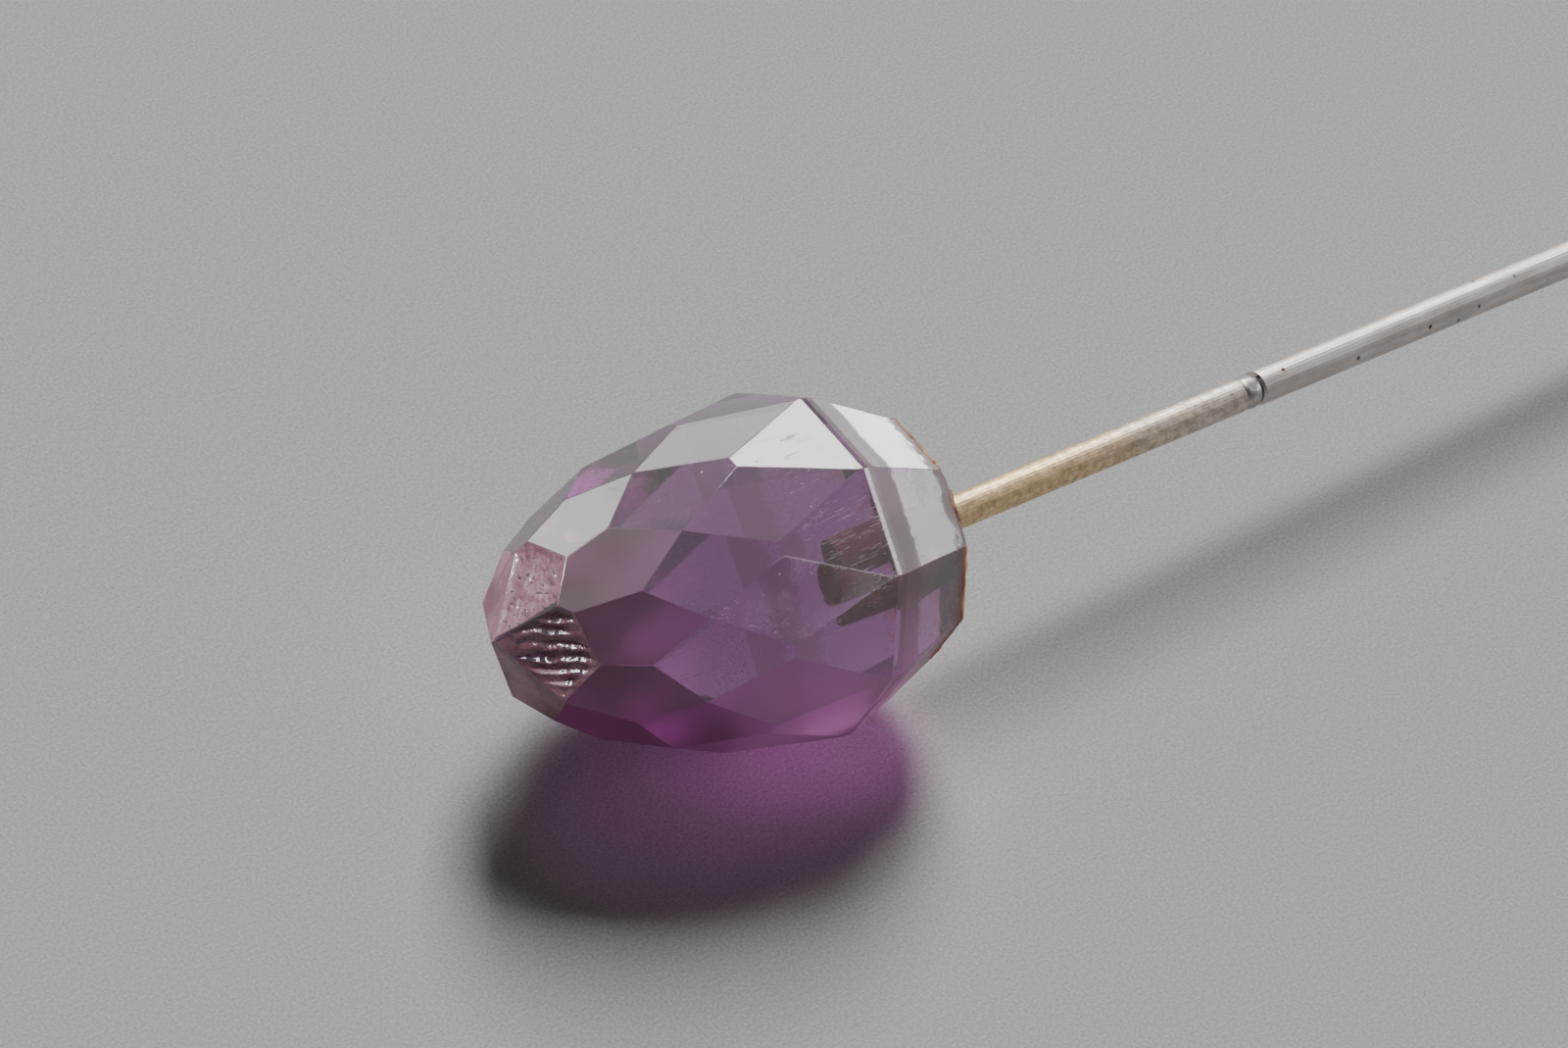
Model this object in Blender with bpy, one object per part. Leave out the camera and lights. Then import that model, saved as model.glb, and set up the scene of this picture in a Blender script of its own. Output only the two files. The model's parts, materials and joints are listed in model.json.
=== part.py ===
"""A hat pin: a faceted violet head cemented on a steel stem with a gilt neck.

The pin lies on the plane z = 0, as it does when it is put down. The head rests on an edge of its
girdle, and the point of the stem touches the plane. +X runs from the head along the stem to the
point, +Z is up, and the origin is at the middle of the pin's bounding box, on the plane.

The stone is cut as a lapidary cuts it: one flat facet after another, each set by its tilt and its
depth, round the stone's own axis. In the stone's frame the origin is the centre of the girdle, +X
points from the nose to the blunt end, and a facet's turn is counted about +X from straight down.
"""

import math

import bmesh
import bpy
from mathutils import Matrix, Vector

# Whole pin (metres)
OVERALL_LENGTH = 0.178

# Stone
GIRDLE_RADIUS = 0.0060  # to the corners
FACETS_PER_ROW = 10
ROUGH_NOSE = 0.0135  # the uncut blank reaches this far ahead of the girdle
ROUGH_RADIUS = 0.0075

# The outline that the crown is cut to is half an ellipse, this long from the girdle
CROWN_LENGTH = 0.0116

# Crown rows from the girdle towards the nose, each half a facet on from the last. Tilt (deg)
CROWN_TILTS = (2.5, 10, 18.5, 30)

# The nose: five large facets, cut by eye, so they are not quite even. Side (deg), tilt (deg)
NOSE_FACETS = ((167, 53), (-112, 55), (-37, 58), (36, 56), (108, 56))

# Rings of corners behind the girdle: distance behind it and radius. Facets join each to the next.
BACK_RINGS = ((0.0, GIRDLE_RADIUS), (0.00035, 0.00593), (0.0039, 0.00435), (0.0045, 0.0036))

# How the pin lies, and how the stem stands to the stone
STONE_PITCH = math.radians(4.5)  # the nose is up by this much
STONE_YAW = math.radians(5.8)  # the bore is drilled this much to one side of the stone's axis

# Stem, measured along it from the stone's end face, towards the point
BORE_RADIUS = 0.0008
BORE_DEPTH = 0.0046
FIT_GAP = 0.00002  # clearance between pieces that touch
SLEEVE_RADIUS = 0.0006
SLEEVE_WALL = 0.00017
SLEEVE_IN_HEAD = 0.0040
SLEEVE_END = 0.0156
SOLDER_END = 0.0164
SHANK_RADIUS = 0.000625
TENON_PAST_SLEEVE = 0.0003
POINT_LENGTH = 0.022
POINT_RADIUS = 0.00005
SHOULDER_CHAMFER = 0.00008
CEMENT_COLLAR = 0.0007  # how far the cement stands out of the bore
CEMENT_FILM_RADIUS = 0.0033  # the cement that was squeezed out covers most of the end face
CEMENT_FILM = 0.0002
TURNED_STEPS = 32
SMOOTH_ANGLE = math.radians(30)

# Name, base colour, metallic, roughness, transmission
FINISHES = {
    "violet_glass": ((0.42, 0.20, 0.50), 0.0, 0.05, 0.8),
    "cement": ((0.20, 0.10, 0.05), 0.0, 0.8, 0.0),
    "gilt": ((0.80, 0.55, 0.26), 1.0, 0.3, 0.0),
    "solder": ((0.62, 0.58, 0.56), 1.0, 0.45, 0.0),
    "steel": ((0.42, 0.39, 0.37), 1.0, 0.4, 0.0),
}


def clear_scene():
    for old in list(bpy.data.objects):
        bpy.data.objects.remove(old, do_unlink=True)


def make_material(name):
    colour, metallic, roughness, transmission = FINISHES[name]
    material = bpy.data.materials.new(name)
    material.use_nodes = True
    shader = material.node_tree.nodes["Principled BSDF"]
    shader.inputs["Base Color"].default_value = (*colour, 1.0)
    shader.inputs["Metallic"].default_value = metallic
    shader.inputs["Roughness"].default_value = roughness
    shader.inputs["Transmission Weight"].default_value = transmission
    return material


def make_object(name, bm, material=None):
    """Turns a bmesh into a named object with outward faces."""
    bmesh.ops.recalc_face_normals(bm, faces=bm.faces)
    mesh = bpy.data.meshes.new(name)
    bm.to_mesh(mesh)
    bm.free()
    if material:
        mesh.materials.append(material)
    thing = bpy.data.objects.new(name, mesh)
    bpy.context.scene.collection.objects.link(thing)
    return thing


def cut_facet(bm, normal, depth):
    """Grinds the stone flat where it stands out past a plane at this depth from its centre."""
    everything = bm.verts[:] + bm.edges[:] + bm.faces[:]
    cut = bmesh.ops.bisect_plane(
        bm, geom=everything, dist=1e-9, plane_co=normal * depth, plane_no=normal, clear_outer=True
    )
    rim = [part for part in cut["geom_cut"] if isinstance(part, bmesh.types.BMEdge)]
    if rim:
        bmesh.ops.edgeloop_fill(bm, edges=rim)


def facet_normal(tilt, side):
    """Outward normal of a facet tilted towards the nose, on one side of the stone's axis."""
    return Vector((-math.sin(tilt), math.cos(tilt) * math.sin(side), -math.cos(tilt) * math.cos(side)))


def crown_depth(tilt):
    """How far from the stone's centre a facet with this tilt touches the elliptical outline."""
    flat_radius = GIRDLE_RADIUS * math.cos(math.pi / FACETS_PER_ROW)
    return math.hypot(CROWN_LENGTH * math.sin(tilt), flat_radius * math.cos(tilt))


def cut_crown(bm):
    step = 2 * math.pi / FACETS_PER_ROW
    for row, degrees in enumerate(CROWN_TILTS):
        tilt = math.radians(degrees)
        for index in range(FACETS_PER_ROW):
            cut_facet(bm, facet_normal(tilt, (index + row / 2) * step), crown_depth(tilt))
    for side, degrees in NOSE_FACETS:
        tilt = math.radians(degrees)
        cut_facet(bm, facet_normal(tilt, math.radians(side)), crown_depth(tilt))


def cut_back(bm):
    step = 2 * math.pi / FACETS_PER_ROW
    flat = math.cos(step / 2)  # from a ring's corners to the middle of its sides
    for (near, near_radius), (far, far_radius) in zip(BACK_RINGS, BACK_RINGS[1:]):
        tilt = math.atan2((far_radius - near_radius) * flat, far - near)
        depth = near_radius * flat * math.cos(tilt) - near * math.sin(tilt)
        for index in range(FACETS_PER_ROW):
            cut_facet(bm, facet_normal(tilt, index * step), depth)


def cut_stone():
    bm = bmesh.new()
    bmesh.ops.create_cube(bm, size=1.0)
    length = ROUGH_NOSE + BACK_RINGS[-1][0]
    size = Matrix.Diagonal((length, 2 * ROUGH_RADIUS, 2 * ROUGH_RADIUS, 1.0))
    middle = Matrix.Translation(((BACK_RINGS[-1][0] - ROUGH_NOSE) / 2, 0, 0))
    bmesh.ops.transform(bm, matrix=middle @ size, verts=bm.verts)
    cut_crown(bm)
    cut_back(bm)
    return bm


def turned(name, outline, material=None):
    """Spins an outline of (along, radius) points about the X axis into a closed body."""
    bm = bmesh.new()
    points = [bm.verts.new((along, 0.0, radius)) for along, radius in outline]
    edges = [bm.edges.new(pair) for pair in zip(points, points[1:])]
    if outline[0][1] > 0 and outline[-1][1] > 0:
        edges.append(bm.edges.new((points[-1], points[0])))
    bmesh.ops.spin(
        bm, geom=points + edges, cent=(0, 0, 0), axis=(1, 0, 0), angle=2 * math.pi, steps=TURNED_STEPS
    )
    bmesh.ops.remove_doubles(bm, verts=bm.verts, dist=1e-7)
    bmesh.ops.dissolve_degenerate(bm, edges=bm.edges, dist=1e-8)
    thing = make_object(name, bm, material)
    thing.data.shade_smooth()
    thing.data.set_sharp_from_angle(angle=SMOOTH_ANGLE)
    return thing


def shank_outline(length):
    """A tenon that fills the sleeve, the full wire, and a ground point at its far end."""
    tenon = SLEEVE_RADIUS - SLEEVE_WALL - FIT_GAP
    tip = -SLEEVE_IN_HEAD - TENON_PAST_SLEEVE
    shoulder = SOLDER_END + FIT_GAP
    return (
        (tip, 0.0),
        (tip, tenon - SHOULDER_CHAMFER),
        (tip + SHOULDER_CHAMFER, tenon),
        (shoulder, tenon),
        (shoulder, SHANK_RADIUS - SHOULDER_CHAMFER),
        (shoulder + SHOULDER_CHAMFER, SHANK_RADIUS),
        (length - POINT_LENGTH, SHANK_RADIUS),
        (length - POINT_RADIUS, POINT_RADIUS),
        (length, 0.0),
    )


def sleeve_outline():
    bore = SLEEVE_RADIUS - SLEEVE_WALL
    return (
        (-SLEEVE_IN_HEAD, bore),
        (-SLEEVE_IN_HEAD, SLEEVE_RADIUS),
        (SLEEVE_END, SLEEVE_RADIUS),
        (SLEEVE_END, bore),
    )


def solder_outline():
    bore = SLEEVE_RADIUS - SLEEVE_WALL
    start = SLEEVE_END + FIT_GAP
    middle = (start + SOLDER_END) / 2
    waist = SLEEVE_RADIUS - FIT_GAP
    return (
        (start, bore),
        (start, SLEEVE_RADIUS),
        (middle, waist),
        (SOLDER_END, SHANK_RADIUS - SHOULDER_CHAMFER),
        (SOLDER_END, bore),
    )


def cement_plug_outline():
    """What fills the bore, with a fillet that rises along the sleeve outside it."""
    outer = BORE_RADIUS - FIT_GAP
    return (
        (-BORE_DEPTH + FIT_GAP, 0.0),
        (-BORE_DEPTH + FIT_GAP, outer),
        (CEMENT_COLLAR / 2, outer),
        (CEMENT_COLLAR, SLEEVE_RADIUS + 2 * FIT_GAP),
        (CEMENT_COLLAR, 0.0),
    )


def cement_film_outline():
    """The thin layer on the end face, in the stone's frame."""
    face = BACK_RINGS[-1][0] + FIT_GAP
    return (
        (face, 0.0),
        (face, CEMENT_FILM_RADIUS),
        (face + CEMENT_FILM, CEMENT_FILM_RADIUS - CEMENT_FILM),
        (face + CEMENT_FILM, 0.0),
    )


def cement_hollow_outline():
    """The space that the sleeve and the tenon stand in."""
    wide = SLEEVE_RADIUS + FIT_GAP
    narrow = SLEEVE_RADIUS - SLEEVE_WALL
    sleeve_floor = -SLEEVE_IN_HEAD - FIT_GAP
    tenon_floor = sleeve_floor - TENON_PAST_SLEEVE
    mouth = 2 * CEMENT_COLLAR
    return (
        (tenon_floor, 0.0),
        (tenon_floor, narrow),
        (sleeve_floor, narrow),
        (sleeve_floor, wide),
        (mouth, wide),
        (mouth, 0.0),
    )


def bore_outline():
    mouth = 2 * CEMENT_COLLAR
    return ((-BORE_DEPTH, 0.0), (-BORE_DEPTH, BORE_RADIUS), (mouth, BORE_RADIUS), (mouth, 0.0))


def stone_turn():
    """Turns the stone so that its nose is up and to one side of the stem's line."""
    return (Matrix.Rotation(-STONE_YAW, 4, "Z") @ Matrix.Rotation(STONE_PITCH, 4, "Y")).to_3x3()


def make_head(material):
    """The stone, with its lowest edge on the plane and its girdle's centre over the origin."""
    bm = cut_stone()
    turn = stone_turn()
    height = -min((turn @ corner.co).z for corner in bm.verts)
    head = make_object("faceted_head", bm, material)
    head.matrix_world = Matrix.Translation((0, 0, height)) @ turn.to_4x4()
    return head


def use_tool(body, name, outline, place, operation):
    """Joins a turned shape to a body, or cuts it out of it."""
    tool = turned(name, outline)
    tool.matrix_world = place
    tool.hide_render = True
    tool.display_type = "WIRE"
    step = body.modifiers.new(name, "BOOLEAN")
    step.operation = operation
    step.object = tool
    return tool


def centre_on_origin(pieces):
    """Moves the pin in X and Y so that its bounding box is centred on the origin."""
    corners = [piece.matrix_world @ vertex.co for piece in pieces for vertex in piece.data.vertices]
    shift = Vector((0, 0, 0))
    for axis in (0, 1):
        values = [corner[axis] for corner in corners]
        shift[axis] = -(min(values) + max(values)) / 2
    return shift


def main():
    clear_scene()
    head = make_head(make_material("violet_glass"))
    end_face = head.matrix_world @ Vector((BACK_RINGS[-1][0], 0, 0))
    nose_x = min((head.matrix_world @ corner.co).x for corner in head.data.vertices)
    reach = OVERALL_LENGTH - (end_face.x - nose_x)
    slope = math.asin((end_face.z - POINT_RADIUS) / reach)
    length = reach / math.cos(slope)

    stem_frame = Matrix.Translation(end_face) @ Matrix.Rotation(slope, 4, "Y")
    cement = turned("head_cement", cement_plug_outline(), make_material("cement"))
    sleeve = turned("neck_sleeve", sleeve_outline(), make_material("gilt"))
    solder = turned("sleeve_solder", solder_outline(), make_material("solder"))
    shank = turned("pin_shank", shank_outline(length), make_material("steel"))
    for piece in (cement, sleeve, solder, shank):
        piece.matrix_world = stem_frame
    tools = (
        use_tool(head, "bore", bore_outline(), stem_frame, "DIFFERENCE"),
        use_tool(cement, "film", cement_film_outline(), head.matrix_world, "UNION"),
        use_tool(cement, "hollow", cement_hollow_outline(), stem_frame, "DIFFERENCE"),
    )

    shift = Matrix.Translation(centre_on_origin((head, shank)))
    for piece in (head, cement, sleeve, solder, shank, *tools):
        piece.matrix_world = shift @ piece.matrix_world


main()
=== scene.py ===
"""The looks of a hat pin: a faceted violet glass head on a steel stem with a worn gilt neck.

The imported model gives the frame: the stone's axis comes from the seat mount, and the stem's axis
from the neck sleeve. Lengths are in metres, and +Z is up from the surface that the pin lies on.
"""

import json
import math

import bmesh
import bpy
import numpy as np
from mathutils import Matrix, Quaternion, Vector, noise
from mathutils.geometry import delaunay_2d_cdt

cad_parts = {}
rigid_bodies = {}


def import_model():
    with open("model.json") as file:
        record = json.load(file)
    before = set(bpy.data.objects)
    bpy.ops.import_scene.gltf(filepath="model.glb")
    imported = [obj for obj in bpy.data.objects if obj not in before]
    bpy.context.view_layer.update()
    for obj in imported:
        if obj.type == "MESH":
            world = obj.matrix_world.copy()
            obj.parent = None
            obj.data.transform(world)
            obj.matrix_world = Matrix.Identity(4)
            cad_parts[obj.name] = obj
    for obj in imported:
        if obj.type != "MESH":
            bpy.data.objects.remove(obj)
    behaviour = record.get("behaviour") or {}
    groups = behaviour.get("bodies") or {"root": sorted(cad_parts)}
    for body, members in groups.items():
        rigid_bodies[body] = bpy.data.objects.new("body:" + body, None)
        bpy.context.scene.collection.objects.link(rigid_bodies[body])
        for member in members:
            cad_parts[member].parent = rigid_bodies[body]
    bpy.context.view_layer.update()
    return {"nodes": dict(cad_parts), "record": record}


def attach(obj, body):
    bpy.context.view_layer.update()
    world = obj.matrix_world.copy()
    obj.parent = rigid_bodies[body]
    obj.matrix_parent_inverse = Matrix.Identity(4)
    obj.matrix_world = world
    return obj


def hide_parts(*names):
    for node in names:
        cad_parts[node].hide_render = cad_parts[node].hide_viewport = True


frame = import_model()
MM = 0.001

# Camera, round the middle of the stone
CAMERA_AZIMUTH = -47.7
CAMERA_ELEVATION = 41.3
CAMERA_ROLL = 12.4
CAMERA_DISTANCE = 0.2437
CAMERA_LENS = 167.85
CAMERA_AIM = Vector((0.15, 1.0, 0.9)) * MM  # from the centre of the girdle

LIGHT_DISTANCE = 8.0
FLOOR_RADIUS = 3.0
FLOOR_SIDES = 64

# The light that shades the floor: azimuths and elevations (deg), brightness
KEY = ((26, 54), (34, 63), 23.5)

# A white card close to the stone
CARD = ((52, 72), (-3, 9), 11.0)
CARD_DISTANCE = 0.09

# Panes that show in single facets: azimuths and elevations (deg), brightness, and whether they also
# show through the glass. Those light the head alone.
WINDOWS = (
    ("window_left", (-4, 8), (16, 28), 8.5, False),
    ("window_nose", (-58, -24), (37, 57), 34.0, True),
    ("window_back", (112, 168), (8, 44), 5.0, True),
    ("window_middle", (23, 37), (10, 24), 4.0, True),
    ("window_side", (90, 106), (1, 11), 6.0, False),
    ("window_girdle", (100, 118), (19, 33), 6.0, False),
    ("ceiling", (-10, 110), (57, 79), 0.3, False),
)
ROOM_WALLS = 0.35  # radiance at the height of the object
ROOM_CEILING = 0.05
ROOM_FADE = 0.6  # sine of the elevation at which the walls' light has faded to the ceiling's
BACKDROP = (0.42, 0.42, 0.43)

# Stone
FILM_THICKNESS = 0.22 * MM  # the cement film on the end face; the seat mount is on its back
GIRDLE_AHEAD = 4.5 * MM  # from the end face to the girdle
EDGE_WEAR = 0.04 * MM
FLAT_ANGLE = math.radians(0.5)
EDGE_ANGLE = math.radians(2)
BOND_DEPTH = 0.10 * MM  # how far the cement and the glass are bonded into each other
BORE_REACH = 0.9 * MM  # the drilled bore's wall lies nearer than this to the stem's axis
NOSE_TILT = (50, 62)
NOSE_EDGE = -9.4 * MM  # the nose facets lie past this, from the girdle

# The chipped nose facet: ledges that climb across it
CHIPPED_SIDE = -112
LEDGE_TURN = math.radians(23)  # from level
LEDGE_PITCH = 0.44 * MM
LEDGE_DEPTH = 0.19 * MM
LEDGE_TREAD = 0.42  # share of the pitch
LEDGE_HALF_LENGTH = 1.6 * MM
LEDGE_MIDDLE = 0.1 * MM

# The nose facet that was never polished
FROSTED_SIDE = 167
GROUND_SIDES = (-37, 108, 167)  # the middles of the nose facets that are milky
GROUND_REACH = 36  # degrees to each side of a middle
GRIME_END = 1.35 * MM  # a grey band of grime starts at the girdle and ends here
STAIN_START = 3.2 * MM  # brown cement stains start here, behind the girdle

# Cement and solder
CEMENT_VOXEL = 0.05 * MM
CEMENT_LUMPS = 0.04 * MM
SMEAR_DEPTH = 0.08 * MM
SMEAR_CUTS = 15
SOLDER_ROWS = 24
SOLDER_SIDES = 64

# How fast the glass absorbs red, green and blue, per metre, and the density that scales them
ABSORPTION = (108, 215, 112)
ABSORPTION_DENSITY = 220
GLASS_IOR = 1.54

# The facets that face this way are the ones that rub on what the pin lies on
DULL_SIDE = Vector((-0.41, -0.50, -0.77))
DULL_ENOUGH = 0.35  # cosine of the angle to it
DULL_NOSE_SIDE = -150  # some facets of the last row before the nose are dull too
DULL_NOSE_REACH = 40
DULL_NOSE_TILT = (26, 35)


# ---------------------------------------------------------------- the frame


def unit(vector):
    return Vector(vector).normalized()


def basis(x, z_hint=Vector((0, 0, 1))):
    """A turn whose X axis is x and whose Y axis is level."""
    y = z_hint.cross(x).normalized()
    return Matrix((x, y, x.cross(y))).transposed()


def points_of(node):
    return np.array([vertex.co for vertex in frame["nodes"][node].data.vertices])


def stem_line():
    """The stem's axis: where it leaves the stone's end face, and its direction."""
    points = points_of("neck_sleeve")
    middle = (points.min(0) + points.max(0)) / 2
    spread = np.cov((points - points.mean(0)).T)
    axis = unit(np.linalg.eigh(spread)[1][:, -1])
    if axis.x < 0:
        axis = -axis
    seat = frame["record"]["mounts"][0]
    normal = unit(seat["axis"])
    middle = Vector(middle)
    end_face = Vector(seat["pos_m"]) - normal * FILM_THICKNESS
    ahead = (end_face - middle).dot(normal) / axis.dot(normal)
    return middle + axis * ahead, axis, normal


STEM_START, STEM_AXIS, STONE_AXIS = stem_line()
STEM_FRAME = Matrix.Translation(STEM_START) @ basis(STEM_AXIS).to_4x4()
GIRDLE_CENTRE = STEM_START - STONE_AXIS * GIRDLE_AHEAD
STONE_FRAME = Matrix.Translation(GIRDLE_CENTRE) @ basis(STONE_AXIS).to_4x4()


def stem_span(node):
    """Where a node starts and ends along the stem, and how far it reaches from the axis."""
    local = [STEM_FRAME.inverted() @ Vector(point) for point in points_of(node)]
    along = [point.x for point in local]
    return min(along), max(along), max(math.hypot(point.y, point.z) for point in local)


# ---------------------------------------------------------------- node helpers


class Nodes:
    """One material's node tree, with short ways to add and join nodes."""

    def __init__(self, name):
        self.material = bpy.data.materials.new(name)
        self.material.use_nodes = True
        self.tree = self.material.node_tree
        self.shader = self.tree.nodes["Principled BSDF"]
        self.output = self.tree.nodes["Material Output"]

    def add(self, kind, inputs=None, **settings):
        node = self.tree.nodes.new("ShaderNode" + kind)
        for key, value in settings.items():
            setattr(node, key, value)
        for key, value in (inputs or {}).items():
            self.feed(node.inputs[key], value)
        return node

    def feed(self, socket, value):
        if isinstance(value, bpy.types.NodeSocket):
            self.tree.links.new(value, socket)
        else:
            socket.default_value = value

    def place(self, scale=(1, 1, 1), turn=(0, 0, 0)):
        """The piece's own coordinates, turned and stretched."""
        source = self.add("TexCoord").outputs["Object"]
        turned = self.add("Mapping", {"Vector": source, "Rotation": turn, "Scale": scale})
        return turned.outputs["Vector"]

    def noise(self, vector, scale, detail=2.0, roughness=0.5):
        inputs = {"Vector": vector, "Scale": scale, "Detail": detail, "Roughness": roughness}
        return self.add("TexNoise", inputs).outputs["Fac"]

    def ramp(self, value, low, high, to_low=0.0, to_high=1.0, smooth=False):
        node = self.add("MapRange", {"Value": value, "From Min": low, "From Max": high})
        node.inputs["To Min"].default_value = to_low
        node.inputs["To Max"].default_value = to_high
        node.interpolation_type = "SMOOTHSTEP" if smooth else "LINEAR"
        return node.outputs["Result"]

    def math(self, operation, first, second=0.0):
        node = self.add("Math", operation=operation)
        self.feed(node.inputs[0], first)
        self.feed(node.inputs[1], second)
        return node.outputs[0]

    def mix(self, factor, first, second):
        node = self.add("Mix", data_type="RGBA")
        self.feed(node.inputs[0], factor)
        self.feed(node.inputs[6], first)
        self.feed(node.inputs[7], second)
        return node.outputs[2]

    def bump(self, height, distance, strength=1.0, normal=None):
        node = self.add("Bump", {"Height": height, "Distance": distance, "Strength": strength})
        if normal is not None:
            self.feed(node.inputs["Normal"], normal)
        return node.outputs["Normal"]

    def streaks(self, turn, width, length, keep):
        """Thin scratches in one direction: 1 on a scratch, 0 elsewhere."""
        lines = self.noise(self.place((1 / length, 1 / width, 1 / width), turn), 1.0, 0.0)
        return self.ramp(lines, keep, keep + 0.03)

    def specks(self, cell, size, share):
        """Small round marks scattered over the surface."""
        cells = self.add("TexVoronoi", {"Vector": self.place(), "Scale": 1 / cell})
        near = self.ramp(cells.outputs["Distance"], size, size * 0.4)
        chosen = self.add("SeparateColor", {"Color": cells.outputs["Color"]}).outputs[0]
        return self.math("MULTIPLY", near, self.math("LESS_THAN", chosen, share))


def colour(red, green, blue):
    return (red, green, blue, 1.0)


# ---------------------------------------------------------------- materials


def fill_with_violet(nodes):
    """Glass that absorbs green most."""
    violet = nodes.add("VolumeAbsorption")
    passed = [1 - rate / ABSORPTION_DENSITY for rate in ABSORPTION]
    violet.inputs["Color"].default_value = colour(*passed)
    violet.inputs["Density"].default_value = ABSORPTION_DENSITY
    nodes.feed(nodes.output.inputs["Volume"], violet.outputs[0])


def glass_material():
    """Old violet glass: a little dusty, with hairline scratches and specks. Its underside is dull."""
    nodes = Nodes("violet_glass")
    shader = nodes.shader
    shader.inputs["Transmission Weight"].default_value = 0.96
    shader.inputs["IOR"].default_value = GLASS_IOR
    scratches = nodes.streaks((0.3, 0.2, 0.5), 0.05 * MM, 2.0 * MM, 0.75)
    for turn in ((1.2, 0.6, -0.4), (-0.5, 1.5, 1.1), (0.9, -0.8, 2.1)):
        more = nodes.streaks(turn, 0.04 * MM, 1.2 * MM, 0.76)
        scratches = nodes.math("MAXIMUM", scratches, more)
    patches = nodes.ramp(nodes.noise(nodes.place(), 350.0, 1.0), 0.5, 0.62)
    scratches = nodes.math("MULTIPLY", scratches, patches)
    specks = nodes.specks(0.35 * MM, 0.13, 0.3)
    marks = nodes.math("MAXIMUM", scratches, specks)
    smears = nodes.ramp(nodes.noise(nodes.place(), 500.0, 4.0, 0.6), 0.35, 0.75, 0.04, 0.12)
    roughness = nodes.math("ADD", smears, nodes.math("MULTIPLY", marks, 0.25))
    dull = nodes.add("Attribute", attribute_name="dull").outputs["Fac"]
    roughness = nodes.math("ADD", roughness, nodes.math("MULTIPLY", dull, 0.3))
    grime, stain = dirt_bands(nodes)
    dirty = nodes.math("MAXIMUM", grime, stain)
    roughness = nodes.math("ADD", roughness, nodes.math("MULTIPLY", dirty, 0.4))
    nodes.feed(shader.inputs["Roughness"], roughness)
    tint = nodes.mix(dull, colour(0.97, 0.96, 0.98), colour(0.92, 0.66, 0.76))
    tint = nodes.mix(stain, tint, colour(0.78, 0.50, 0.44))
    nodes.feed(shader.inputs["Base Color"], nodes.mix(grime, tint, colour(0.58, 0.50, 0.47)))
    nodes.feed(shader.inputs["Normal"], nodes.bump(marks, -0.002 * MM))
    fill_with_violet(nodes)
    return nodes.material


def along_stone(nodes):
    """How far a point is behind the girdle."""
    along = nodes.add("VectorMath", operation="DOT_PRODUCT")
    nodes.feed(along.inputs[0], nodes.add("TexCoord").outputs["Object"])
    along.inputs[1].default_value = STONE_AXIS
    return nodes.math("SUBTRACT", along.outputs["Value"], GIRDLE_CENTRE.dot(STONE_AXIS))


def dirt_bands(nodes):
    """Grey grime in the angle behind the girdle, and brown cement stains towards the end face.

    Each is 1 in its band and has a ragged edge.
    """
    behind = along_stone(nodes)
    cloud = nodes.math("SUBTRACT", nodes.noise(nodes.place(), 1500.0, 4.0, 0.7), 0.5)
    ragged = nodes.math("ADD", behind, nodes.math("MULTIPLY", cloud, 0.8 * MM))
    starts = nodes.ramp(behind, 0.05 * MM, 0.15 * MM)
    ends = nodes.ramp(ragged, GRIME_END, GRIME_END - 0.25 * MM)
    stained = nodes.math("ADD", behind, nodes.math("MULTIPLY", cloud, 2.4 * MM))
    stain = nodes.ramp(stained, STAIN_START, STAIN_START + 0.7 * MM, smooth=True)
    return nodes.math("MULTIPLY", starts, ends), stain


def ground_glass_material(name, transmission, roughness):
    """The same glass where it was never polished: a pinkish, milky, speckled surface."""
    nodes = Nodes(name)
    shader = nodes.shader
    shader.inputs["Transmission Weight"].default_value = transmission
    shader.inputs["IOR"].default_value = GLASS_IOR
    grit = nodes.noise(nodes.place(), 3500.0, 4.0, 0.7)
    cloud = nodes.ramp(nodes.noise(nodes.place(), 700.0, 2.0), 0.35, 0.65)
    milky = nodes.mix(cloud, colour(0.32, 0.12, 0.18), colour(0.66, 0.32, 0.43))
    dirt = nodes.ramp(grit, 0.36, 0.46)
    nodes.feed(shader.inputs["Base Color"], nodes.mix(dirt, colour(0.24, 0.12, 0.12), milky))
    nodes.feed(shader.inputs["Roughness"], nodes.ramp(grit, 0.3, 0.7, roughness, 2 * roughness))
    nodes.feed(shader.inputs["Normal"], nodes.bump(grit, 0.02 * MM))
    fill_with_violet(nodes)
    return nodes.material


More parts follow.
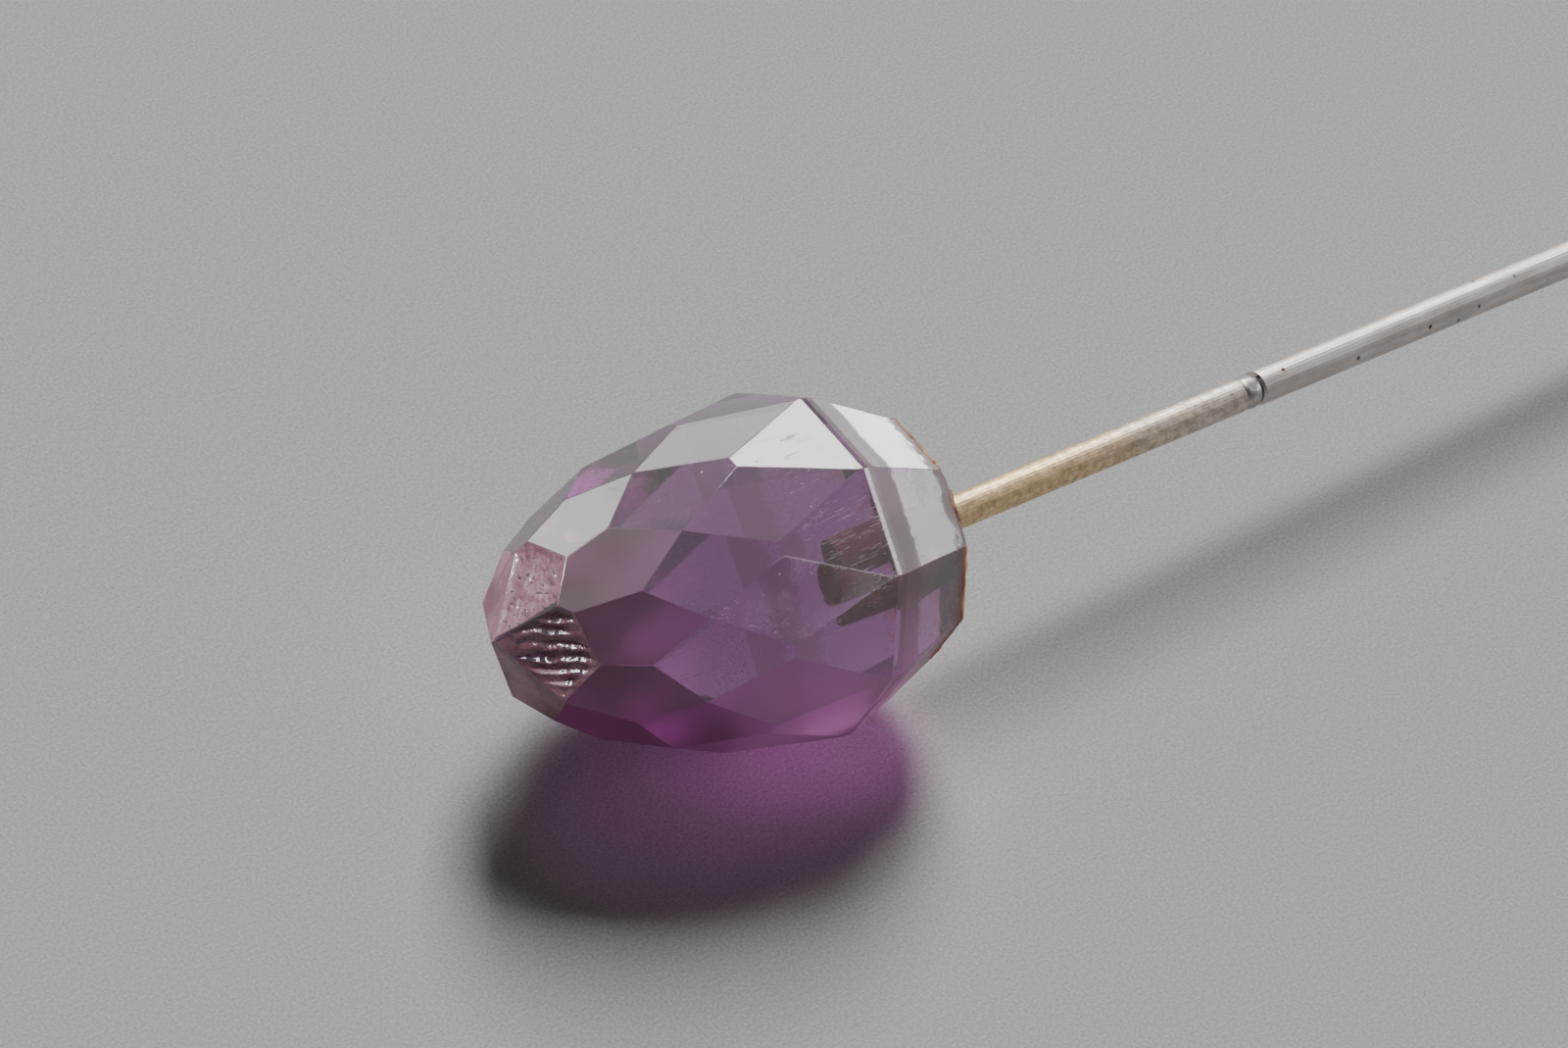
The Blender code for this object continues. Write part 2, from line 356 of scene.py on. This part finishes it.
def cement_material():
    """Resin cement, which lets light through: pale inside, a pale that is partly painted light standing
    in for the light that reaches it through the glass, and dark brown round the end face's rim.
    """
    nodes = Nodes("cement")
    nodes.shader.inputs["Transmission Weight"].default_value = 0.5
    from_axis = nodes.add("VectorMath", operation="SUBTRACT")
    nodes.feed(from_axis.inputs[0], nodes.add("TexCoord").outputs["Object"])
    from_axis.inputs[1].default_value = GIRDLE_CENTRE
    across = nodes.add("VectorMath", operation="CROSS_PRODUCT")
    nodes.feed(across.inputs[0], from_axis.outputs[0])
    across.inputs[1].default_value = STONE_AXIS
    radius = nodes.add("VectorMath", operation="LENGTH")
    nodes.feed(radius.inputs[0], across.outputs[0])
    cloud = nodes.noise(nodes.place(), 900.0, 4.0, 0.6)
    wander = nodes.math("MULTIPLY", nodes.math("SUBTRACT", cloud, 0.5), 1.5 * MM)
    rim = nodes.ramp(nodes.math("ADD", radius.outputs["Value"], wander), 2.3 * MM, 3.0 * MM, smooth=True)
    blotches = nodes.ramp(cloud, 0.35, 0.65)
    # The inside colour is the cement's own tone made paler still: painted light for the light that comes
    # to it through the glass.
    pale_and_painted_light = nodes.mix(blotches, colour(0.95, 0.58, 0.42), colour(1.0, 0.82, 0.74))
    brown = nodes.mix(blotches, colour(0.16, 0.05, 0.02), colour(0.60, 0.22, 0.08))
    nodes.feed(nodes.shader.inputs["Base Color"], nodes.mix(rim, pale_and_painted_light, brown))
    grain = nodes.noise(nodes.place(), 6000.0, 3.0)
    nodes.feed(nodes.shader.inputs["Roughness"], nodes.ramp(grain, 0.3, 0.7, 0.35, 0.7))
    nodes.feed(nodes.shader.inputs["Normal"], nodes.bump(grain, 0.02 * MM))
    return nodes.material


def distance_along(nodes, start, end):
    """0 at one place along the stem and 1 at another."""
    source = nodes.add("TexCoord").outputs["Object"]
    along = nodes.add("VectorMath", operation="DOT_PRODUCT")
    nodes.feed(along.inputs[0], source)
    along.inputs[1].default_value = STEM_AXIS
    first = STEM_START.dot(STEM_AXIS)
    return nodes.ramp(along.outputs["Value"], first + start, first + end)


def gilt_material():
    """Gilding, yellow at the head and rubbed through to grey-brown towards the solder."""
    nodes = Nodes("gilt")
    end = stem_span("neck_sleeve")[1]
    rubbed = distance_along(nodes, 0.15 * end, 1.05 * end)
    patches = nodes.noise(nodes.place(), 1200.0, 5.0, 0.65)
    rubbed = nodes.math("ADD", rubbed, nodes.math("MULTIPLY", nodes.math("SUBTRACT", patches, 0.5), 0.9))
    rubbed = nodes.ramp(rubbed, 0.25, 0.85, smooth=True)
    shade = nodes.mix(rubbed, colour(0.92, 0.70, 0.40), colour(0.74, 0.65, 0.57))
    grime = nodes.ramp(nodes.noise(nodes.place(), 3500.0, 4.0, 0.7), 0.35, 0.62)
    shade = nodes.mix(grime, nodes.mix(0.5, shade, colour(0.16, 0.11, 0.08)), shade)
    nodes.feed(nodes.shader.inputs["Base Color"], shade)
    nodes.shader.inputs["Metallic"].default_value = 1.0
    fine = nodes.noise(nodes.place((1, 6, 6)), 2500.0, 3.0)
    nodes.feed(nodes.shader.inputs["Roughness"], nodes.ramp(fine, 0.3, 0.7, 0.4, 0.6))
    nodes.feed(nodes.shader.inputs["Normal"], nodes.bump(fine, 0.006 * MM))
    return nodes.material


def solder_material():
    nodes = Nodes("solder")
    dull = nodes.ramp(nodes.noise(nodes.place(), 3000.0, 4.0, 0.6), 0.35, 0.65)
    shade = nodes.mix(dull, colour(0.40, 0.36, 0.33), colour(0.62, 0.58, 0.55))
    nodes.feed(nodes.shader.inputs["Base Color"], shade)
    nodes.shader.inputs["Metallic"].default_value = 1.0
    nodes.feed(nodes.shader.inputs["Roughness"], nodes.ramp(dull, 0, 1, 0.55, 0.35))
    return nodes.material


def steel_material():
    """Drawn steel wire, tarnished in patches, with lengthwise draw marks and small rust pits."""
    nodes = Nodes("steel")
    tarnish = nodes.ramp(nodes.noise(nodes.place((1, 3, 3)), 500.0, 6.0, 0.65), 0.35, 0.68)
    shade = nodes.mix(tarnish, colour(0.74, 0.68, 0.64), colour(0.54, 0.48, 0.44))
    pits = nodes.specks(0.5 * MM, 0.22, 0.25)
    shade = nodes.mix(pits, shade, colour(0.10, 0.05, 0.03))
    nodes.feed(nodes.shader.inputs["Base Color"], shade)
    nodes.shader.inputs["Metallic"].default_value = 1.0
    drawn = nodes.noise(nodes.place((0.05, 1, 1)), 9000.0, 3.0)
    nodes.feed(nodes.shader.inputs["Roughness"], nodes.ramp(drawn, 0.3, 0.7, 0.42, 0.6))
    nodes.feed(nodes.shader.inputs["Normal"], nodes.bump(drawn, 0.006 * MM))
    return nodes.material


def paper_material():
    """Plain matt grey paper with a very fine tooth."""
    nodes = Nodes("paper")
    tooth = nodes.noise(nodes.place(), 9000.0, 4.0, 0.6)
    shade = nodes.mix(nodes.ramp(tooth, 0.3, 0.7), colour(0.36, 0.36, 0.365), colour(0.56, 0.56, 0.565))
    nodes.feed(nodes.shader.inputs["Base Color"], shade)
    nodes.shader.inputs["Roughness"].default_value = 0.8
    nodes.feed(nodes.shader.inputs["Normal"], nodes.bump(tooth, 0.012 * MM))
    return nodes.material


# ---------------------------------------------------------------- the stone


def add_piece(name, mesh, material, slot, *replaced):
    """Links a new piece that rides on the pin."""
    piece = bpy.data.objects.new(name, mesh)
    bpy.context.scene.collection.objects.link(piece)
    mesh.materials.append(material)
    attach(piece, "root")
    if replaced:
        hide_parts(*replaced)


def facet_side(normal):
    """The side (deg) and tilt (deg) of a facet from its normal in the stone's frame."""
    side = math.degrees(math.atan2(normal.y, -normal.z))
    return side, math.degrees(math.asin(-normal.x))


def is_nose_facet(face, side):
    found, tilt = facet_side(face.normal)
    return NOSE_TILT[0] < tilt < NOSE_TILT[1] and abs(found - side) < 5


def facet_axes(normal, turn):
    """Two directions in a facet: level, then turned uphill by an angle, and the one across it."""
    up = STONE_FRAME.to_3x3().inverted() @ Vector((0, 0, 1))
    level = up.cross(normal).normalized()
    along = Matrix.Rotation(turn, 3, normal) @ level
    return along, normal.cross(along)


def rim_distance(corners, points):
    """How far points in a convex outline are from its nearest side. Negative outside."""
    nearest = np.full(len(points), np.inf)
    for first, second in zip(corners, np.roll(corners, -1, 0)):
        side = (second - first) / np.linalg.norm(second - first)
        nearest = np.minimum(nearest, (points - first) @ np.array((-side[1], side[0])))
    return nearest


def reshape_facet(bm, side, turn, step, height):
    """Fills a nose facet with a fine mesh and moves its points in or out."""
    face = next(face for face in bm.faces if is_nose_facet(face, side))
    normal = face.normal.copy()
    along, across = facet_axes(normal, turn)
    centre = face.calc_center_median()
    corners = list(face.verts)
    flat = np.array([((v.co - centre).dot(along), (v.co - centre).dot(across)) for v in corners])
    low, high = flat.min(0), flat.max(0)
    grid = np.stack(np.meshgrid(*(np.arange(low[i], high[i], step) for i in (0, 1))), -1).reshape(-1, 2)
    grid = grid[rim_distance(flat, grid) > step * 0.6]
    outline = [list(range(len(corners)))]
    made = delaunay_2d_cdt([Vector(point) for point in (*flat, *grid)], [], outline, 1, 1e-9)
    places, triangles, sources = made[0], made[2], made[3]
    rims = rim_distance(flat, np.array([tuple(place) for place in places]))
    verts = []
    for place, source, rim in zip(places, sources, rims):
        if source[0] < len(corners):
            verts.append(corners[source[0]])
            continue
        point = centre + along * place.x + across * place.y
        fade = min(1.0, max(0.0, rim) / (0.2 * MM))
        verts.append(bm.verts.new(point + normal * (fade * height(place.x, place.y, point))))
    bmesh.ops.delete(bm, geom=[face], context="FACES_ONLY")
    for triangle in triangles:
        bm.faces.new([verts[index] for index in triangle]).smooth = True


def chipped(along, across, point):
    """Ledges of a shell-like chip. Each climbs slowly, then drops to a tread that faces up."""
    wander = 0.14 * MM * noise.noise(point * 700) + 0.05 * MM * noise.noise(point * 2600)
    phase = (across + 30.0 * along * along + wander) / LEDGE_PITCH
    ledge = math.floor(phase)
    phase -= ledge
    shift = LEDGE_MIDDLE + 0.7 * MM * noise.noise(Vector((ledge * 1.7, 0.4, 0.2)))
    half = LEDGE_HALF_LENGTH * (1 + 0.8 * noise.noise(Vector((0.3, ledge * 1.3, 0.9))))
    taper = max(0.0, 1 - abs((along - shift) / half) ** 3)
    tread = LEDGE_TREAD * (0.75 + 0.6 * noise.noise(point * 1500 + Vector((5, 2, 8))))
    rise = 1 - tread
    profile = phase / rise - 1 if phase < rise else -(phase - rise) / tread
    crumbs = 0.02 * MM * noise.noise(point * 9000)
    return (LEDGE_DEPTH * profile + crumbs) * taper * tread / LEDGE_TREAD


def frosted(along, across, point):
    """A coarse ground surface."""
    coarse = noise.noise(point * 2200)
    fine = noise.noise(point * 6500)
    return MM * (-0.03 + 0.05 * coarse + 0.025 * fine)


def stone_mesh():
    """The cut stone, with each facet merged into one flat face, in its own frame."""
    bm = bmesh.new()
    bm.from_mesh(frame["nodes"]["faceted_head"].data)
    bmesh.ops.transform(bm, matrix=STONE_FRAME.inverted(), verts=bm.verts)
    bmesh.ops.remove_doubles(bm, verts=bm.verts, dist=1e-6)
    bmesh.ops.dissolve_limit(bm, angle_limit=FLAT_ANGLE, verts=bm.verts, edges=bm.edges)
    for face in bm.faces:
        face.smooth = False
    return bm


def in_bore(local):
    """Whether a point, in the stem's frame, is on the drilled bore's wall."""
    return math.hypot(local.y, local.z) < BORE_REACH and local.x < 0.3 * MM


def is_near(angle, middle, reach):
    return abs((angle - middle + 180) % 360 - 180) < reach


def mark_wear(mesh):
    """Gives the bore and the unpolished nose facets their materials, and marks the dull facets."""
    dull = mesh.attributes.new("dull", "FLOAT", "FACE")
    to_stone = STONE_FRAME.inverted()
    to_stem = STEM_FRAME.inverted()
    turn = to_stone.to_3x3()
    for face, mark in zip(mesh.polygons, dull.data):
        tilt = facet_side(turn @ face.normal)[1]
        place = to_stone @ face.center
        if in_bore(to_stem @ face.center):
            face.material_index = 1
        around = math.degrees(math.atan2(place.y, -place.z))
        if place.x < NOSE_EDGE and tilt > NOSE_TILT[0] - 8:
            if any(is_near(around, side, GROUND_REACH) for side in GROUND_SIDES):
                face.material_index = 1
            elif is_near(around, CHIPPED_SIDE, GROUND_REACH):
                face.material_index = 2
        near_nose = is_near(around, DULL_NOSE_SIDE, DULL_NOSE_REACH)
        near_nose = near_nose and DULL_NOSE_TILT[0] < tilt < DULL_NOSE_TILT[1]
        mark.value = 1.0 if face.normal.dot(DULL_SIDE) > DULL_ENOUGH or near_nose else 0.0


def make_stone():
    bm = stone_mesh()
    stem = STEM_FRAME.inverted() @ STONE_FRAME
    bore = {vertex for vertex in bm.verts if in_bore(stem @ vertex.co)}
    edges = [
        edge
        for edge in bm.edges
        if len(edge.link_faces) == 2
        and not any(vertex in bore for vertex in edge.verts)
        and edge.calc_face_angle(0) > EDGE_ANGLE
    ]
    for vertex in bore:
        local = stem @ vertex.co
        squeeze = 1 - BOND_DEPTH / max(math.hypot(local.y, local.z), BOND_DEPTH * 2)
        raised = BOND_DEPTH if local.x < -1 * MM else 0.0
        local = Vector((local.x + raised, local.y * squeeze, local.z * squeeze))
        vertex.co = stem.inverted() @ local
    bm.normal_update()
    worn = bmesh.ops.bevel(
        bm, geom=edges, offset=EDGE_WEAR, offset_type="WIDTH", segments=2, profile=0.5, affect="EDGES"
    )
    for face in worn["faces"]:
        face.smooth = True
    bm.normal_update()
    reshape_facet(bm, CHIPPED_SIDE, LEDGE_TURN, 0.035 * MM, chipped)
    reshape_facet(bm, FROSTED_SIDE, 0.0, 0.05 * MM, frosted)
    bmesh.ops.triangulate(bm, faces=[face for face in bm.faces if len(face.verts) > 4])
    bmesh.ops.transform(bm, matrix=STONE_FRAME, verts=bm.verts)
    mesh = bpy.data.meshes.new("violet_stone")
    bm.to_mesh(mesh)
    bm.free()
    mark_wear(mesh)
    add_piece("violet_stone", mesh, glass_material(), "violet_glass", "faceted_head")
    mesh.materials.append(ground_glass_material("ground_glass", 0.6, 0.3))
    mesh.materials.append(ground_glass_material("chipped_glass", 0.7, 0.1))


# ---------------------------------------------------------------- the metal and the cement


def make_cement():
    """The plug and the film, lumpy, and bonded to the glass in patches."""
    rough = bpy.data.objects.new("rough_cement", frame["nodes"]["head_cement"].data.copy())
    bpy.context.scene.collection.objects.link(rough)
    remesh = rough.modifiers.new("remesh", "REMESH")
    remesh.mode = "VOXEL"
    remesh.voxel_size = CEMENT_VOXEL
    mesh = bpy.data.meshes.new_from_object(rough.evaluated_get(bpy.context.evaluated_depsgraph_get()))
    bpy.data.objects.remove(rough)
    mesh.name = "resin_cement"
    to_stone = STONE_FRAME.inverted()
    middle_of_film = GIRDLE_AHEAD + FILM_THICKNESS / 2
    moves = []
    for vertex in mesh.vertices:
        lump = 0.7 * noise.noise(vertex.co * 1500) + 0.3 * noise.noise(vertex.co * 5000)
        move = vertex.normal * (CEMENT_LUMPS * lump)
        local = to_stone @ vertex.co
        on_film = math.hypot(local.y, local.z) > 1.0 * MM
        if on_film and local.x < middle_of_film and noise.noise(vertex.co * 600) > -0.3:
            move = -STONE_AXIS * BOND_DEPTH
        moves.append(move)
    for vertex, move in zip(mesh.vertices, moves):
        vertex.co += move
    mesh.shade_smooth()
    add_piece("resin_cement", mesh, cement_material(), "cement", "head_cement")


def make_smear():
    """Brown cement that ran over the rim of the end face, in ragged patches."""
    bm = stone_mesh()
    outside = [face for face in bm.faces if not 0.5 < face.normal.x < 0.95]
    bmesh.ops.delete(bm, geom=outside, context="FACES")
    bmesh.ops.subdivide_edges(bm, edges=bm.edges[:], cuts=SMEAR_CUTS, use_grid_fill=True)
    bm.normal_update()
    bare = []
    for face in bm.faces:
        place = face.calc_center_median()
        low = -place.z / place.length
        if noise.noise(place * 900) + 0.4 * noise.noise(place * 3000) > 0.1 + 0.4 * low:
            bare.append(face)
    bmesh.ops.delete(bm, geom=bare, context="FACES")
    for vertex in bm.verts:
        depth = 0.6 + 0.8 * noise.noise(vertex.co * 2500)
        vertex.co += vertex.normal * (SMEAR_DEPTH * max(0.2, depth))
    bmesh.ops.solidify(bm, geom=bm.faces[:], thickness=2 * SMEAR_DEPTH)
    bmesh.ops.recalc_face_normals(bm, faces=bm.faces[:])
    for face in bm.faces:
        face.smooth = True
    bmesh.ops.transform(bm, matrix=STONE_FRAME, verts=bm.verts)
    mesh = bpy.data.meshes.new("cement_smear")
    bm.to_mesh(mesh)
    bm.free()
    add_piece("cement_smear", mesh, cement_material(), "cement")


def make_solder():
    """A lumpy ring of solder that fills the step from the sleeve to the wire."""
    start, end, radius = stem_span("sleeve_solder")
    inner = min(
        math.hypot(local.y, local.z)
        for local in (STEM_FRAME.inverted() @ Vector(point) for point in points_of("sleeve_solder"))
    )
    bm = bmesh.new()
    rings = []
    for row in range(SOLDER_ROWS + 1):
        along = row / SOLDER_ROWS
        ring = []
        for step in range(SOLDER_SIDES):
            angle = 2 * math.pi * step / SOLDER_SIDES
            out = Vector((0, math.cos(angle), math.sin(angle)))
            place = Vector((start + (end - start) * along, 0, 0))
            lump = noise.noise((place + out * radius) * 2500)
            crown = math.sin(math.pi * along) ** 0.5
            reach = inner + (radius - inner) * (0.35 + 0.6 * crown + 0.25 * lump * crown)
            ring.append(bm.verts.new(place + out * reach))
        rings.append(ring)
    for row in (SOLDER_ROWS, 0):
        place = rings[row][0].co.x
        rings.append([bm.verts.new(Vector((place, *(v.co.yz.normalized() * inner)))) for v in rings[row]])
    for first, second in zip(rings, rings[1:] + rings[:1]):
        for step in range(SOLDER_SIDES):
            after = (step + 1) % SOLDER_SIDES
            bm.faces.new((first[step], first[after], second[after], second[step])).smooth = True
    bmesh.ops.recalc_face_normals(bm, faces=bm.faces[:])
    bmesh.ops.transform(bm, matrix=STEM_FRAME, verts=bm.verts)
    mesh = bpy.data.meshes.new("solder_fillet")
    bm.to_mesh(mesh)
    bm.free()
    add_piece("solder_fillet", mesh, solder_material(), "solder", "sleeve_solder")


def dress(node, material):
    """Gives a carried-over CAD node its material."""
    piece = frame["nodes"][node]
    piece.data.materials.clear()
    piece.data.materials.append(material)
    piece.data.shade_smooth()
    piece.data.set_sharp_from_angle(angle=math.radians(30))


# ---------------------------------------------------------------- the stage


def aim_at(thing, target):
    thing.rotation_mode = "QUATERNION"
    thing.rotation_quaternion = (target - thing.location).to_track_quat("-Z", "Y")


def direction(azimuth, elevation):
    """From the object towards a place round it. Azimuth 0 is towards +Y and 90 towards +X."""
    a, e = math.radians(azimuth), math.radians(elevation)
    return Vector((math.sin(a) * math.cos(e), math.cos(a) * math.cos(e), math.sin(e)))


def make_light(name, azimuths, elevations, brightness, lit=None, shows_through=True):
    """A soft panel that faces the stone and fills this much of its view. Brightness is its radiance.

    With lit, a collection, it lights only the things in it. Where it doesn't show through glass, it is
    seen in reflections only.
    """
    azimuth, elevation = sum(azimuths) / 2, sum(elevations) / 2
    wide = math.radians(azimuths[1] - azimuths[0]) * math.cos(math.radians(elevation))
    lamp = bpy.data.lights.new(name, "AREA")
    lamp.shape = "RECTANGLE"
    lamp.size = 2 * LIGHT_DISTANCE * math.tan(wide / 2)
    lamp.size_y = 2 * LIGHT_DISTANCE * math.tan(math.radians(elevations[1] - elevations[0]) / 2)
    lamp.energy = brightness * math.pi * lamp.size * lamp.size_y
    thing = bpy.data.objects.new(name, lamp)
    bpy.context.scene.collection.objects.link(thing)
    thing.location = GIRDLE_CENTRE + direction(azimuth, elevation) * LIGHT_DISTANCE
    aim_at(thing, GIRDLE_CENTRE)
    thing.visible_camera = False
    thing.visible_transmission = shows_through
    if lit:
        thing.light_linking.receiver_collection = lit
    return thing


def make_windows():
    """Window panes that show in the facets. Only the key light shades the floor."""
    head, pieces = bpy.data.collections.new("head"), bpy.data.collections.new("pieces")
    for piece in bpy.context.scene.objects:
        if piece.type == "MESH" and piece.name != "floor":
            pieces.objects.link(piece)
    for name in ("violet_stone", "resin_cement", "cement_smear"):
        head.objects.link(bpy.data.objects[name])
    for name, azimuths, elevations, brightness, shows_through in WINDOWS:
        lit = head if shows_through else pieces
        make_light(name, azimuths, elevations, brightness, lit, shows_through)
    card = make_light("card", *CARD, head, shows_through=False)
    near = CARD_DISTANCE / LIGHT_DISTANCE
    card.location = GIRDLE_CENTRE + (card.location - GIRDLE_CENTRE) * near
    card.data.size *= near
    card.data.size_y *= near
    card.data.energy *= near * near


def make_world():
    """A dim room, brighter towards its walls. The camera sees a plain grey instead."""
    world = bpy.data.worlds.new("studio")
    bpy.context.scene.world = world
    world.use_nodes = True
    tree = world.node_tree
    tree.nodes.clear()
    seen = tree.nodes.new("ShaderNodeBackground")
    seen.inputs["Color"].default_value = colour(*BACKDROP)
    room = tree.nodes.new("ShaderNodeBackground")
    place = tree.nodes.new("ShaderNodeTexCoord")
    height = tree.nodes.new("ShaderNodeSeparateXYZ")
    shade = tree.nodes.new("ShaderNodeMapRange")
    shade.interpolation_type = "SMOOTHERSTEP"
    shade.inputs["From Max"].default_value = ROOM_FADE
    shade.inputs["To Min"].default_value = ROOM_WALLS
    shade.inputs["To Max"].default_value = ROOM_CEILING
    tree.links.new(place.outputs["Generated"], height.inputs[0])
    tree.links.new(height.outputs["Z"], shade.inputs["Value"])
    tree.links.new(shade.outputs["Result"], room.inputs["Strength"])
    path = tree.nodes.new("ShaderNodeLightPath")
    mix = tree.nodes.new("ShaderNodeMixShader")
    output = tree.nodes.new("ShaderNodeOutputWorld")
    tree.links.new(path.outputs["Is Camera Ray"], mix.inputs[0])
    tree.links.new(room.outputs[0], mix.inputs[1])
    tree.links.new(seen.outputs[0], mix.inputs[2])
    tree.links.new(mix.outputs[0], output.inputs["Surface"])


def make_floor():
    bm = bmesh.new()
    bmesh.ops.create_circle(bm, cap_ends=True, radius=FLOOR_RADIUS, segments=FLOOR_SIDES)
    mesh = bpy.data.meshes.new("floor")
    bm.to_mesh(mesh)
    bm.free()
    floor = bpy.data.objects.new("floor", mesh)
    bpy.context.scene.collection.objects.link(floor)
    mesh.materials.append(paper_material())


def make_camera():
    camera = bpy.data.objects.new("camera", bpy.data.cameras.new("camera"))
    bpy.context.scene.collection.objects.link(camera)
    camera.data.lens = CAMERA_LENS
    camera.data.sensor_width = 36.0
    camera.data.clip_start = 0.01
    aim = GIRDLE_CENTRE + CAMERA_AIM
    azimuth, elevation = math.radians(CAMERA_AZIMUTH), math.radians(CAMERA_ELEVATION)
    back = Vector(
        (
            math.sin(azimuth) * math.cos(elevation),
            -math.cos(azimuth) * math.cos(elevation),
            math.sin(elevation),
        )
    )
    camera.location = aim + back * CAMERA_DISTANCE
    camera.rotation_mode = "QUATERNION"
    level = (-back).to_track_quat("-Z", "Y")
    camera.rotation_quaternion = level @ Quaternion((0, 0, 1), math.radians(CAMERA_ROLL))
    bpy.context.scene.camera = camera


def main():
    make_camera()
    make_world()
    make_floor()
    make_light("key", *KEY, shows_through=False)
    make_stone()
    make_cement()
    make_smear()
    make_solder()
    dress("neck_sleeve", gilt_material())
    dress("pin_shank", steel_material())
    make_windows()


main()
